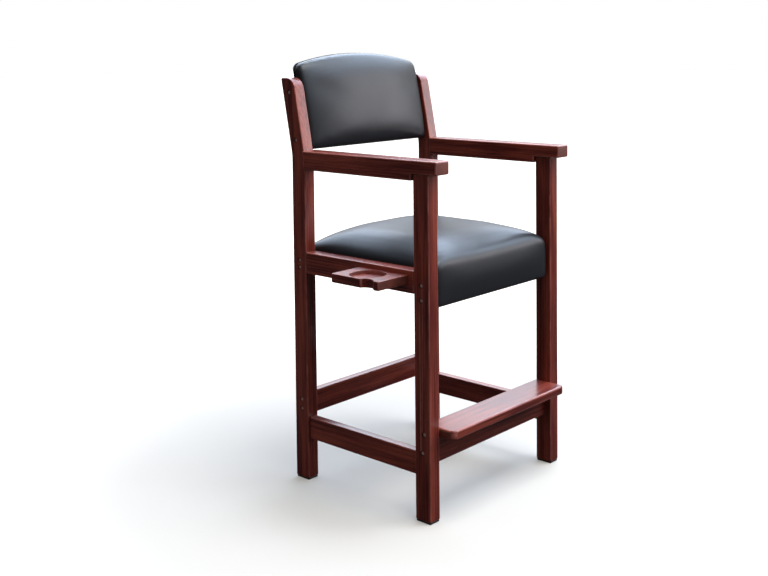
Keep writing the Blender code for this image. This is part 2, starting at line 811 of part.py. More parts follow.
def padded_back():
    """A plywood board with foam and its cover in front, and a covered panel behind."""
    stand = Matrix.Rotation(math.pi / 2, 4, "X")
    core = place("back_board", slab("back_board", back_outline(back_skirt + touch), back_board_thickness),
                 birch_plywood, (0, back_board_middle, 0), stand, raked_frame)
    back_joint.open_member(core)
    cushion = place("back_cushion", padded_block("back_cushion", back_shape, pad_cuts), black_leather,
                    carrier=raked_frame)
    room = cutter("back_room", slab("back_room", back_outline(back_skirt),
                                    back_board_thickness + touch + overrun), raked_frame)
    room.matrix_basis = Matrix.Translation((0, back_board_middle + (overrun - touch) / 2, 0)) @ stand
    bpy.context.view_layer.update()
    cut(cushion, room)
    cut(cushion, back_joint.holes)
    cushion.data.shade_smooth()
    place("outside_back", slab("outside_back", back_outline(back_edge_inset), outside_back_thickness),
          black_leather, (0, back_pad_rear + touch + outside_back_thickness / 2, 0), stand, raked_frame)


seat_cushion()
padded_back()
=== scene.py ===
# %% [markdown]
# # A tall spectator chair for a billiard room
#
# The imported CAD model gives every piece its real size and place. This script dresses it: it
# lights it, gives the wood, the padding and the fittings their finishes, and makes the soft
# pieces, which the CAD model holds only as plain solids. Read it from top to bottom: each note
# says what a piece or a finish is on the real chair, how it could be made in Blender, and why
# one way was chosen.

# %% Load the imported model
import math

import bmesh
import bpy
import numpy as np
from mathutils import Matrix, Vector


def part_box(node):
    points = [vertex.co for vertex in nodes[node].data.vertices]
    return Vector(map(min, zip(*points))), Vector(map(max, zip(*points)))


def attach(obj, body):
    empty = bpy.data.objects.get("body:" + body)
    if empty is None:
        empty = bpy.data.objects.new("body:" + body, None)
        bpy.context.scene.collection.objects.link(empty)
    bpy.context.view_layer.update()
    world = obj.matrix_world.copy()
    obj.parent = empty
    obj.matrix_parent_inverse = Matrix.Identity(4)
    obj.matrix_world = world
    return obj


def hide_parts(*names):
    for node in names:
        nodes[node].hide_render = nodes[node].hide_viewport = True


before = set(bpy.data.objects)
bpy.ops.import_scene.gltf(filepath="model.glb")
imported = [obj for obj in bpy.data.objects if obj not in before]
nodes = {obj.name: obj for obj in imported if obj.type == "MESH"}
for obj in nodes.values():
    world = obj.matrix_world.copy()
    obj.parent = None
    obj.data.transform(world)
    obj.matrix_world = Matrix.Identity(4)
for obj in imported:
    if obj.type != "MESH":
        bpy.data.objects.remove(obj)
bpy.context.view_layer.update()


def rounded(point):
    """A point's numbers, short enough to read."""
    return tuple(round(value, 4) for value in point)


print("pieces in the packed model:", len(nodes))

# %% [markdown]
# ## Where things are
#
# The chair's own directions are easy to think in: x = 0 is the middle of the seat, y = 0 is the
# front face of the front posts, z = 0 is the floor, and the sitter's right is -x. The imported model
# stands elsewhere in the room, because it is centred over its whole outline, tray included. So one
# point is measured from the model, and everything below is placed from it. The back leans, so it
# gets directions of its own: across, backward, and up along the raked posts.

# %% The chair's own directions
right_rail_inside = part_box("right_seat_rail")[1].x
left_rail_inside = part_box("left_seat_rail")[0].x
post_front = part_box("right_front_post")[0].y
chair_origin = Vector(((right_rail_inside + left_rail_inside) / 2, post_front, 0))
inner_face = (left_rail_inside - right_rail_inside) / 2
print("chair origin:", rounded(chair_origin), "half the seat's width:", round(inner_face, 4))

rake = math.radians(11)
kink_height = 0.932
rear_post_front = 0.460


def at(x, y, z):
    """A place in the chair's own directions, as a place in the room."""
    return chair_origin + Vector((x, y, z))


raked = Matrix.Translation(at(0, rear_post_front, kink_height)) @ Matrix.Rotation(-rake, 4, "X")

# %% Two short ways used all through


def tune(thing, **settings):
    """Set several values of one thing."""
    for label, value in settings.items():
        setattr(thing, label, value)


def placed(name, data):
    """A new object in the scene."""
    made = bpy.data.objects.new(name, data)
    bpy.context.scene.collection.objects.link(made)
    return made


# %% [markdown]
# ## The camera
#
# The photograph was taken from the sitter's front right, with the lens a little above the arms.
# Its direction and its lens were worked out from the straight edges of the posts and rails. The
# picture is a low crop of a level view, which a shifted lens gives: posts stay nearly upright
# although the seat is seen from above. A tilted camera would make them lean together instead.

# %% The camera
photo_width, photo_height = 768, 576
focal_pixels = 1090.0
optical_centre = (417.65, 101.92)
camera_place = (-2.3805, -1.8046, 1.2442)
camera_yaw, camera_pitch, camera_roll = (math.radians(angle) for angle in (48.668, 3.009, -0.518))
sensor_width = 36

forward = Vector((math.sin(camera_yaw) * math.cos(camera_pitch),
                  math.cos(camera_yaw) * math.cos(camera_pitch), -math.sin(camera_pitch)))
level = Vector((math.cos(camera_yaw), -math.sin(camera_yaw), 0))
over = level.cross(forward)
camera_right = level * math.cos(camera_roll) + over * math.sin(camera_roll)
camera_up = over * math.cos(camera_roll) - level * math.sin(camera_roll)

camera_data = bpy.data.cameras.new("photo_camera")
tune(camera_data, sensor_width=sensor_width, lens=focal_pixels / photo_width * sensor_width,
     shift_x=(photo_width / 2 - optical_centre[0]) / photo_width,
     shift_y=(optical_centre[1] - photo_height / 2) / photo_width)
camera = placed("photo_camera", camera_data)
turn = Matrix((camera_right, camera_up, -forward)).transposed().to_4x4()
camera.matrix_world = Matrix.Translation(at(*camera_place)) @ turn
bpy.context.scene.camera = camera
print("lens and shifts:", rounded((camera_data.lens, camera_data.shift_x, camera_data.shift_y)))

# %% [markdown]
# ## Helpers for node trees
#
# A finish is a tree of nodes. Added one by one they fill pages, so a small class gives the few
# steps that come back again and again. It links a value that is a socket, and types in any other.

# %% Short ways to join nodes


class Wiring:
    """Adds and joins the nodes of one tree."""

    def __init__(self, tree):
        self.tree = tree

    def put(self, socket, value):
        """Link a socket to another one, or type a plain value into it."""
        if isinstance(value, bpy.types.NodeSocket):
            self.tree.links.new(value, socket)
        else:
            socket.default_value = value

    def feed(self, node, inputs):
        """Fill inputs of a node, by name or by number."""
        for label, value in inputs.items():
            self.put(node.inputs[label], value)

    def add(self, kind, inputs=None, **settings):
        """A new node, with its settings and inputs."""
        node = self.tree.nodes.new(kind)
        tune(node, **settings)
        self.feed(node, inputs or {})
        return node

    def get(self, kind, inputs=None, **settings):
        """The first output of a new node."""
        return self.add(kind, inputs, **settings).outputs[0]

    def place(self):
        """Where on the piece a point is, in the piece's own directions."""
        return self.add("ShaderNodeTexCoord").outputs["Object"]

    def math(self, operation, *values, clamp=False):
        """Arithmetic on numbers."""
        return self.get("ShaderNodeMath", dict(enumerate(values)), operation=operation, use_clamp=clamp)

    def length(self, place):
        """How far a place is from the middle of its space."""
        return self.add("ShaderNodeVectorMath", {0: place}, operation="LENGTH").outputs["Value"]

    def mix(self, share, first, second):
        """A blend of two numbers."""
        return self.get("ShaderNodeMix", {0: share, 2: first, 3: second}, data_type="FLOAT")

    def blend(self, share, first, second):
        """A blend of two colours."""
        return self.add("ShaderNodeMix", {0: share, 6: first, 7: second}, data_type="RGBA").outputs[2]

    def span(self, value, low, high, to_low=0.0, to_high=1.0):
        """One range of values stretched onto another, with soft ends."""
        numbers = dict(enumerate((value, low, high, to_low, to_high)))
        return self.get("ShaderNodeMapRange", numbers, interpolation_type="SMOOTHSTEP")

    def squeeze(self, place, factors):
        """A place with each of its three numbers multiplied."""
        return self.get("ShaderNodeVectorMath", {0: place, 1: factors}, operation="MULTIPLY")

    def noise(self, place, scale, detail=2.0):
        """Soft disorder, from 0 to 1."""
        return self.get("ShaderNodeTexNoise", {"Vector": place, "Scale": scale, "Detail": detail})

    def bump(self, shader, height, strength, distance):
        """Fine relief on a shader."""
        relief = {"Height": height, "Strength": strength, "Distance": distance}
        self.feed(shader, {"Normal": self.get("ShaderNodeBump", relief)})

    def cover(self, shader, surface, strength, distance):
        """A shader takes its colour, roughness and relief from a surface group."""
        self.feed(shader, {"Base Color": surface.outputs["Colour"],
                           "Roughness": surface.outputs["Roughness"]})
        self.bump(shader, surface.outputs["Height"], strength, distance)


def declare(tree, inputs):
    """Give a group its inputs (name, type, value), and tell what Blender calls each."""
    identifiers = {}
    for label, kind, value in inputs:
        socket = tree.interface.new_socket(name=label, in_out="INPUT", socket_type="NodeSocket" + kind)
        if value is not None:
            socket.default_value = value
        identifiers[label] = socket.identifier
    return identifiers


def effect(name, inputs):
    """A shader group that turns its inputs into a surface's colour, roughness and height."""
    tree = bpy.data.node_groups.new(name, "ShaderNodeTree")
    declare(tree, inputs)
    for label, kind in (("Colour", "Color"), ("Roughness", "Float"), ("Height", "Float")):
        tree.interface.new_socket(name=label, in_out="OUTPUT", socket_type="NodeSocket" + kind)
    wiring = Wiring(tree)
    return tree, wiring, wiring.add("NodeGroupInput").outputs, wiring.add("NodeGroupOutput")


def finish(name, constants):
    """A material whose Principled shader gets its constant values on its own sockets."""
    made = bpy.data.materials.new(name)
    made.use_nodes = True
    shader = made.node_tree.nodes["Principled BSDF"]
    wiring = Wiring(made.node_tree)
    wiring.feed(shader, constants)
    return made, wiring, shader


def colour(red, green, blue):
    """A colour with full cover."""
    return (red, green, blue, 1.0)


# %% [markdown]
# ## The stained mahogany
#
# The chair's frame is a plain hardwood, stained a dark red brown. Real boards show growth rings as
# long bands, fine fibres, and pores: short dark dashes that run with the grain. All three are the
# same thing in three dimensions, so they come from one solid pattern: rings round a centre line
# beside the board, with noise that is stretched along it. Sawn ends then show arcs by themselves,
# which a picture wrapped round the board could not give. The group reads a place in the wood, whose
# third number runs along the grain, and gives colour, roughness and height.

# %% Wood grain, as a group
wood_grain, wiring, given, out = effect("wood_grain", [
    ("Place", "Vector", None), ("Light Stain", "Color", colour(0.29, 0.055, 0.033)),
    ("Dark Stain", "Color", colour(0.080, 0.010, 0.0075)), ("Ring Width", "Float", 0.0065),
    ("Pores", "Color", colour(0.02, 0.006, 0.006)), ("Gloss", "Float", 0.3)])


def drawn_out(share):
    """The place in the wood, shortened along the grain, so that a pattern there is drawn out."""
    return wiring.squeeze(given["Place"], (1, 1, share))


ring_wobble, ring_tone, fibre_tone, pore_tone = 0.022, 0.13, 1.5, 0.55
fibre_roughness, fibre_height = 0.14, 0.4
wobble = wiring.noise(drawn_out(0.05), 26)
radius = wiring.math("MULTIPLY_ADD", wobble, ring_wobble, wiring.length(drawn_out(0)))
turns = wiring.math("DIVIDE", wiring.math("MULTIPLY", radius, math.tau), given["Ring Width"])
rings = wiring.math("SINE", turns)
patches = wiring.noise(drawn_out(0.08), 32, 3)
fibres = wiring.noise(drawn_out(0.02), 430, 3)
pores = wiring.span(wiring.noise(drawn_out(0.04), 1300, 1), 0.60, 0.70)
tone = wiring.math("MULTIPLY_ADD", rings, ring_tone, wiring.span(patches, 0.32, 0.68, 0.08, 0.80))
tone = wiring.math("MULTIPLY_ADD", wiring.math("SUBTRACT", fibres, 0.5), fibre_tone, tone, clamp=True)
stained = wiring.blend(tone, given["Dark Stain"], given["Light Stain"])
wiring.feed(out, {
    "Colour": wiring.blend(wiring.math("MULTIPLY", pores, pore_tone), stained, given["Pores"]),
    "Roughness": wiring.math("MULTIPLY_ADD", fibres, fibre_roughness, given["Gloss"]),
    "Height": wiring.math("SUBTRACT", wiring.math("MULTIPLY", fibres, fibre_height), pores)})
print("wood grain nodes:", len(wood_grain.nodes))

# %% [markdown]
# ## Lacquer over the stain
#
# The wood carries a clear semi-gloss lacquer, which fills the pores and leaves its surface smooth.
# The Principled shader has a coat for exactly that: the stain below gets the grain's bump, and the
# coat above keeps the plain normal, so highlights stay clean while the wood looks deep. On eased
# edges the stain is rubbed thinner, and their paler colour is also a painted highlight: it is made
# lighter than the rubbing alone would make it, standing in for the thin line of light along the
# rounds. A sawn end soaks the stain up unevenly and looks browner. Both are masks that the mesh
# carries, face by face.

# %% Lacquered wood
lacquered_wood, wiring, shader = finish("lacquered_mahogany", {
    "Specular IOR Level": 0.1, "Coat Weight": 1.0, "Coat Roughness": 0.2, "Coat IOR": 1.27})
place = wiring.add("ShaderNodeAttribute", attribute_name="grain_place").outputs["Vector"]
eased = wiring.add("ShaderNodeAttribute", attribute_name="eased").outputs["Fac"]
end_grain = wiring.add("ShaderNodeAttribute", attribute_name="end_grain").outputs["Fac"]
grain = wiring.add("ShaderNodeGroup", {"Place": place}, node_tree=wood_grain)
# Eased edges turn paler: partly stain rubbed thin, partly a painted highlight along the rounds.
rubbed_and_painted_highlight = wiring.span(wiring.noise(wiring.squeeze(place, (1, 1, 0.3)), 55, 3), 0.35, 0.65, 0.25, 0.75)
shade = wiring.blend(wiring.math("MULTIPLY", eased, rubbed_and_painted_highlight), grain.outputs["Colour"],
                     colour(0.42, 0.13, 0.10))
shade = wiring.blend(wiring.math("MULTIPLY", end_grain, 0.6), shade, colour(0.105, 0.040, 0.030))
wiring.feed(shader, {
    "Base Color": shade,
    "Roughness": wiring.math("MULTIPLY_ADD", end_grain, 0.12, grain.outputs["Roughness"])})
wiring.bump(shader, grain.outputs["Height"], 0.35, 0.0003)

# %% [markdown]
# ## The boards
#
# Each wooden piece of the CAD model already has its real shape, with eased edges, tenons and bolt
# pockets. What it lacks is a place in the wood: every board comes from another part of the tree,
# and its grain runs along its length. So each board gets a merged copy that carries three values:
# its place in the wood, whether a face is an eased edge, and whether it is a sawn end. The raked
# posts keep upright grain, because they are sawn from a straight plank. Faces are shaded smooth
# with weighted normals: broad faces stay flat, and the rounds between them catch a thin line of
# light, as on the real chair.

# %% Pieces and their modifiers


def modified(piece, name, kind, **settings):
    """Give a piece a modifier with its settings."""
    modifier = piece.modifiers.new(name, kind)
    tune(modifier, **settings)
    return modifier


def settle(piece):
    """Turn a piece and its modifiers into a plain mesh."""
    graph = bpy.context.evaluated_depsgraph_get()
    mesh = bpy.data.meshes.new_from_object(piece.evaluated_get(graph), preserve_all_data_layers=True,
                                           depsgraph=graph)
    piece.modifiers.clear()
    before = piece.data
    piece.data = mesh
    bpy.data.meshes.remove(before)


def new_piece(name, mesh, look):
    """A piece with one finish."""
    mesh.materials.clear()
    mesh.materials.append(look)
    return placed(name, mesh)


def hand_over(piece, slot, *replaced):
    """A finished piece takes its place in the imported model."""
    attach(piece, "root")
    if replaced:
        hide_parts(*replaced)


# %% Boards with their place in the wood
# A face is an eased edge if it is narrower than this, and longer than this all round.
edge_width, edge_length = 0.0042, 0.03
end_slope = 0.9
heart_turn, heart_distance, heart_step, tree_step = 2.4, 0.05, 0.011, 3.7
sharp_angle = math.radians(50)


def strip_width(face):
    """How wide a long thin face is."""
    return 2 * face.calc_area() / face.calc_perimeter()


def dressed_board(name, number):
    """A merged, smooth copy of a board that knows where in the tree it was."""
    mesh = nodes[name].data.copy()
    low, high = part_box(name)
    along = max(range(3), key=lambda axis: high[axis] - low[axis])
    first, second = (axis for axis in range(3) if axis != along)
    bm = bmesh.new()
    bm.from_mesh(mesh)
    bmesh.ops.remove_doubles(bm, verts=bm.verts, dist=0.00001)
    bmesh.ops.dissolve_limit(bm, angle_limit=math.radians(0.5), verts=bm.verts, edges=bm.edges)
    eased = bm.faces.layers.float.new("eased")
    end_grain = bm.faces.layers.float.new("end_grain")
    for face in bm.faces:
        face.smooth = True
        face[end_grain] = float(abs(face.normal[along]) > end_slope)
        face[eased] = float(strip_width(face) < edge_width and face.calc_perimeter() > edge_length)
    bm.to_mesh(mesh)
    bm.free()
    # The tree's heart runs beside the board, for each board in another direction and distance.
    points = np.array([vertex.co for vertex in mesh.vertices])
    angle, distance = heart_turn * number, heart_distance + heart_step * (number % 5)
    place = np.empty_like(points)
    place[:, 0] = points[:, first] - (low[first] + high[first]) / 2 + distance * math.cos(angle)
    place[:, 1] = points[:, second] - (low[second] + high[second]) / 2 + distance * math.sin(angle)
    place[:, 2] = points[:, along] + tree_step * number
    mesh.attributes.new("grain_place", "FLOAT_VECTOR", "POINT").data.foreach_set("vector", place.ravel())
    mesh.set_sharp_from_angle(angle=sharp_angle)
    board = new_piece("finished_" + name, mesh, lacquered_wood)
    modified(board, "flat_faces", "WEIGHTED_NORMAL", keep_sharp=True, weight=100)
    settle(board)
    hand_over(board, "stained_wood", name)
    return board


pairs = ("front_post", "rear_post", "armrest", "seat_rail", "side_stretcher")
board_names = [f"{side}_{part}" for part in pairs for side in ("right", "left")]
board_names += ["rear_stretcher", "front_stretcher", "footrest_board", "drink_tray"]
boards = [dressed_board(name, number) for number, name in enumerate(board_names, 1)]
print("boards:", len(boards), "with", sum(len(board.data.polygons) for board in boards), "faces")

# %% [markdown]
# ## The black upholstery
#
# Seat and back are covered in smooth black artificial leather. Close up it has a fine pebble
# grain, and from a step away it is a soft, broad gloss that gathers the whole window. Voronoi cells
# a little over a millimetre wide give the pebbles, and slower noise changes their depth and the
# gloss from place to place, as on a cover that has been pulled over foam by hand. The pebble tops
# are painted a little lighter and the creases between them darker: painted light and shade on the
# relief.

# %% Leather grain, as a group
leather_grain, wiring, given, out = effect("leather_grain", [
    ("Place", "Vector", None), ("Cell Size", "Float", 0.0012), ("Gloss", "Float", 0.30),
    ("Shade", "Color", colour(0.010, 0.010, 0.012))])
cell_warp, edge_share = 0.0012, 0.22
pebble_painted_light, crease_roughness, slow_roughness = 0.35, 0.08, 0.10
place = given["Place"]
warp = wiring.add("ShaderNodeTexNoise", {"Vector": place, "Scale": 500.0, "Detail": 1.0})
bent = wiring.get("ShaderNodeVectorMath", {
    0: warp.outputs["Color"], 1: (cell_warp,) * 3, 2: place}, operation="MULTIPLY_ADD")
per_metre = wiring.math("DIVIDE", 1.0, given["Cell Size"])
to_edge = wiring.get("ShaderNodeTexVoronoi", {"Vector": bent, "Scale": per_metre},
                     feature="DISTANCE_TO_EDGE")
pebbles = wiring.span(to_edge, 0.0, edge_share)
creases = wiring.math("SUBTRACT", 1.0, pebbles)
slow = wiring.noise(place, 9)
# Painted light and shade: the pebble tops are lighter and the creases between them darker.
wiring.feed(out, {
    "Height": wiring.math("MULTIPLY", pebbles, wiring.span(slow, 0.3, 0.7, 0.6, 1.0)),
    "Roughness": wiring.math("MULTIPLY_ADD", wiring.math("SUBTRACT", slow, 0.5), slow_roughness,
                             wiring.math("MULTIPLY_ADD", creases, crease_roughness, given["Gloss"])),
    "Colour": wiring.blend(wiring.math("MULTIPLY", pebbles, pebble_painted_light), given["Shade"],
                           colour(0.024, 0.024, 0.024))})


def leather(name, gloss, shade):
    """The leather with a gloss and a shade of its own."""
    made, wiring, shader = finish(name, {"IOR": 1.33, "Specular IOR Level": 0.5})
    grain = wiring.add("ShaderNodeGroup", {"Place": wiring.place(), "Gloss": gloss, "Shade": shade},
                       node_tree=leather_grain)
    wiring.cover(shader, grain, 0.25, 0.00012)
    return made


cover_leather = leather("black_leather_cover", 0.30, colour(0.010, 0.010, 0.012))
panel_leather = leather("black_leather_panel", 0.38, colour(0.012, 0.012, 0.013))
print("leather grain nodes:", len(leather_grain.nodes))

# %% [markdown]
# ## How the padding is made
#
# A cushion is foam under a tight cover. Its shape follows a rule well: over the board it crowns
# like a superellipse, which rises steeply from the edge and is nearly flat in the middle. That rule
# gives a first form. Then the cover is blown up a little as a cloth, with the places where it is
# stapled held still, so that the tension of a real cover rounds the corners and draws the sides in
# between them. How far a point may move is limited, because foam doesn't follow a balloon. Last,
# the box inside is cut out, so the cushion is a closed solid that sits round its board.

# %% A crowned block
# Grid points above this belong to the block's top.
top_layer = 0.999


def limited(value, low=0, high=1):
    """A value kept between two others."""
    return min(max(value, low), high)


def rim(share, power, root=1):
    """A superellipse: 1 in the middle, 0 at the rim."""
    return (1 - abs(share) ** power) ** (1 / root)


def spread(u, v, half, low, high):
    """Grid shares that crowd to the rims, and the place across and along that they give."""
    a, b = math.sin(u * math.pi / 2), math.sin(v * math.pi / 2)
    return a, b, half * a, low + (high - low) * (b + 1) / 2


def round_corners(across, along, half, low, high, low_corner, high_corner):
    """Draw the corners of a rectangle in to arcs."""
    corner = low_corner if along < (low + high) / 2 else high_corner
    middle_x = limited(across, -half + corner, half - corner)
    middle_y = limited(along, low + low_corner, high - high_corner)
    off = Vector((across - middle_x, along - middle_y))
    if off.x and off.y:
        off *= max(abs(off.x), abs(off.y)) / off.length
    return middle_x + off.x, middle_y + off.y


def mesh_of(name, bm):
    """The finished mesh of a bmesh."""
    mesh = bpy.data.meshes.new(name)
    bm.to_mesh(mesh)
    bm.free()
    return mesh


def crowned_block(name, shape, cuts, look):
    """A cube cut into a grid, each grid point (u, v, w) moved by a shape rule."""
    bm = bmesh.new()
    bmesh.ops.create_cube(bm, size=2.0)
    bmesh.ops.subdivide_edges(bm, edges=bm.edges, cuts=cuts, use_grid_fill=True)
    for vertex in bm.verts:
        vertex.co = shape(*vertex.co)
    bmesh.ops.recalc_face_normals(bm, faces=bm.faces)
    return new_piece(name, mesh_of(name, bm), look)


# %% Blowing up the cover
# A cover this close to wood can't move.
hemmed_in = 0.004
cloth_frames, even_rounds = 20, 50


def swell(pad, voxel, pressure, cap, held):
    """Blow a pad up a little as a cloth, with the points held where held(place) says so."""
    modified(pad, "even_mesh", "REMESH", mode="VOXEL", voxel_size=voxel)
    settle(pad)
    start = np.array([vertex.co for vertex in pad.data.vertices])
    hold = [held(vertex.co) for vertex in pad.data.vertices]
    staples = pad.vertex_groups.new(name="stapled")
    for index, share in enumerate(hold):
        staples.add([index], share, "REPLACE")
    cloth = modified(pad, "cover", "CLOTH")
    tune(cloth.settings, quality=5, mass=0.4, tension_stiffness=25, compression_stiffness=25,
         bending_stiffness=1.0, use_pressure=True, uniform_pressure_force=pressure,
         vertex_group_mass="stapled")
    cloth.settings.effector_weights.gravity = 0
    cloth.collision_settings.use_collision = False
    tune(cloth.point_cache, frame_start=1, frame_end=cloth_frames)
    for moment in range(1, cloth_frames + 1):
        bpy.context.scene.frame_set(moment)
    graph = bpy.context.evaluated_depsgraph_get()
    blown = pad.evaluated_get(graph).data
    moved = np.array([vertex.co for vertex in blown.vertices]) - start
    length = np.linalg.norm(moved, axis=1, keepdims=True)
    moved *= cap * np.tanh(length / cap) / np.maximum(length, 1e-9)
    # Each move is evened out with its neighbours' moves, so that no crease stays.
    ends = np.array([edge.vertices for edge in pad.data.edges])
    ends = np.concatenate((ends, ends[:, ::-1]))
    neighbours = np.bincount(ends[:, 0], minlength=len(start))[:, None]
    for _ in range(even_rounds):
        beside = [np.bincount(ends[:, 0], moved[ends[:, 1], axis], len(start)) for axis in range(3)]
        moved = (moved + np.stack(beside, axis=1) / neighbours) / 2
    moved *= 1 - np.array(hold)[:, None]
    pad.modifiers.clear()
    pad.vertex_groups.clear()
    pad.data.vertices.foreach_set("co", (start + moved).ravel())
    bpy.context.scene.frame_set(1)
    print(pad.name, "points:", len(start), "greatest move:",
          round(float(np.abs(moved).max()) * 1000, 2), "mm")


def refine(pad):
    """Smooth the voxel steps away and split each face in four."""
    modified(pad, "smooth", "CORRECTIVE_SMOOTH", use_only_smooth=True, factor=0.5, iterations=6)
    modified(pad, "split", "SUBSURF", levels=1, render_levels=1)
    settle(pad)


# %% Cutting out the room inside
bolt_room_radius, bolt_room_length = 0.0036, 0.13


def cut_out(pad, *cutters):
    """Take closed shapes out of a pad."""
    for number, cutter in enumerate(cutters):
        modified(pad, f"room_{number}", "BOOLEAN", operation="DIFFERENCE", object=cutter)
    settle(pad)
    for cutter in cutters:
        bpy.data.objects.remove(cutter, do_unlink=True)
    pad.data.set_sharp_from_angle(angle=sharp_angle)
    pad.data.polygons.foreach_set("use_smooth", [True] * len(pad.data.polygons))


def box_cutter(low, high):
    """A box between two corners."""
    low, high = Vector(low), Vector(high)
    bm = bmesh.new()
    bmesh.ops.create_cube(
        bm, size=1.0, matrix=Matrix.Translation((high + low) / 2) @ Matrix.Diagonal((*(high - low), 1)))
    return placed("box_cutter", mesh_of("box_cutter", bm))


def slab_cutter(outline, front, rear):
    """A closed outline (across, along) given its depth, in the leaning directions."""
    bm = bmesh.new()
    rims = [[bm.verts.new(raked @ Vector((x, y, z))) for x, z in outline] for y in (front, rear)]
    bm.faces.new(rims[0])
    bm.faces.new(rims[1][::-1])
    for index in range(len(outline)):
        following = (index + 1) % len(outline)
        bm.faces.new((rims[0][index], rims[1][index], rims[1][following], rims[0][following]))
    bmesh.ops.recalc_face_normals(bm, faces=bm.faces)
    return placed("slab_cutter", mesh_of("slab_cutter", bm))


def bolt_room(*places):
    """Round holes where bolts pass through a cushion's skirts."""
    sideways = Matrix.Rotation(math.pi / 2, 4, "Y")
    bm = bmesh.new()
    for name in [f"{side}_{place}_bolt_{number}" for side in ("right", "left") for place in places
                 for number in (1, 2)]:
        low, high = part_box(name)
        bmesh.ops.create_cone(
            bm, cap_ends=True, segments=16, radius1=bolt_room_radius, radius2=bolt_room_radius,
            depth=bolt_room_length, matrix=Matrix.Translation((low + high) / 2) @ sideways)
    return placed("bolt_room", mesh_of("bolt_room", bm))


# %% [markdown]
# ## The seat
#
# The seat is a box with foam on its deck. The cover wraps over the foam and down over the box, deep
# at the front and shorter at the sides, where the rails hide it. Its front stands just behind the
# posts' front faces. Between posts and rails there is no room to swell, so the cover is held there.
# The crown is rounder at the front, where the foam bends over the edge, and boxier at its corners.

# %% The seat cushion
seat_gap = 0.0009
seat_half, seat_front, seat_back = inner_face - seat_gap, 0.0070, 0.502
seat_bottom, seat_edge = 0.5570, 0.6663
seat_rise, seat_sag = 0.0790, 0.0272
seat_front_corner, seat_rear_corner = 0.014, 0.002
side_power, rear_power, rim_root = 4.8, 4.85, 1.4
front_power, front_root = 2.4, 2
corner_start, corner_power, corner_root = 4, 1.6, 1.2
sag_side_power, sag_rear_power, sag_front_power = 5, 3.5, 2.2
seat_stapled, seat_free, rail_top = 0.566, 0.03, 0.664


def seat_shape(u, v, w):
    """The seat's cover: a crown over the deck, and skirts down to the bottom of the box."""
    a, b, across, along = spread(u, v, seat_half, seat_front, seat_back)
    if w > top_layer:
        boxy = abs(a) ** corner_start
        if b > 0:
            end, sag_power = rim(b, rear_power, rim_root), sag_rear_power
        else:
            end = rim(b, front_power + corner_power * boxy, front_root + corner_root * boxy)
            sag_power = sag_front_power
        middle = rim(a, sag_side_power) * rim(b, sag_power)
        up = seat_edge + seat_rise * rim(a, side_power, rim_root) * end - seat_sag * middle
    else:
        up = seat_bottom + (seat_edge - seat_bottom) * (w + 1) / 2
    across, along = round_corners(across, along, seat_half, seat_front, seat_back,
                                  seat_front_corner, seat_rear_corner)
    return at(across, along, up)


def seat_held(place):
    """Stapled under the box, and hemmed in by the posts and rails."""
    inside = place - chair_origin
    low_down = 1 - limited((inside.z - seat_stapled) / seat_free)
    beside = seat_half - abs(inside.x) < hemmed_in and inside.z < rail_top
    behind = inside.y > seat_back - hemmed_in
    return max(low_down, float(beside), float(behind))


seat = crowned_block("padded_seat", seat_shape, 40, cover_leather)
swell(seat, voxel=0.007, pressure=4, cap=0.006, held=seat_held)
refine(seat)

# The deck's room fits it closely. Below the battens, only the front skirt goes on.
fit, beyond, under, skirt_drop = 0.0004, 0.05, 0.5, 0.002
deck_low, deck_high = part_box("seat_deck")
front_rail_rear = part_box("seat_front_rail")[1].y
batten_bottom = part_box("right_seat_batten")[0].z
cut_out(
    seat,
    box_cutter((deck_low.x - fit, deck_low.y - fit, under),
               (deck_high.x + fit, deck_high.y + fit, deck_high.z + fit)),
    box_cutter((deck_low.x - beyond, front_rail_rear, under),
               (deck_high.x + beyond, deck_high.y + beyond, batten_bottom - skirt_drop)),
    bolt_room("seat_front", "seat_rear"))
hand_over(seat, "black_leather", "seat_cushion")
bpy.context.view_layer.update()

# %% [markdown]
# ## The back
#
# The back is a board with foam in front, an arched top with round corners, and a covered panel
# behind. It leans between the raked posts, so its shape is written in the leaning directions and
# turned into place at the end, point by point. It stands a little proud of the posts.

# %% The back cushion
back_gap = 0.0022
back_half, back_low, back_high = inner_face - back_gap, 0.0195, 0.3030
back_arch, back_roll = 0.032, 0.005
back_foot_corner, back_corner = 0.006, 0.020
back_edge, back_crown, back_rear = -0.016, 0.017, -0.038
back_power = 2.6
back_free, back_fade, post_depth, post_reach = 0.018, 0.012, 0.004, 0.222
board_high, board_arch, board_foot_corner, board_corner = 0.2930, 0.026, 0.0005, 0.032
board_inset, board_front, board_rear = 0.0055, 0.0155, 0.0500
upright = raked.inverted()


def arched(across, along, drop=back_arch):
    """How far the arch lowers a point of the back."""
    return drop * (across / back_half) ** 2 * (along - back_low) / (back_high - back_low)


def back_shape(u, v, w):
    """The back's cover: a crown ahead of the board, and sides that wrap round it."""
    a, b, across, along = spread(u, v, back_half, back_low, back_high)
    if w > top_layer:
        share = rim(a, back_power) * rim(b, back_power)
        ahead = back_edge + (back_crown - back_edge) * share ** (1 / back_power)
    else:
        ahead = back_rear + (back_edge - back_rear) * (w + 1) / 2
    across, along = round_corners(across, along, back_half, back_low, back_high,
                                  back_foot_corner, back_corner)
    rolled = back_roll * (w + 1) / 2 * (along - back_low) / (back_high - back_low)
    return raked @ Vector((across, -ahead, along - rolled - arched(across, along)))


def back_held(place):
    """Stapled behind the board, and hemmed in by the posts."""
    inside = upright @ place
    behind = limited((inside.y - back_free) / back_fade)
    beside = (back_half - abs(inside.x) < hemmed_in and inside.y > post_depth
              and inside.z < post_reach)
    return max(behind, float(beside))


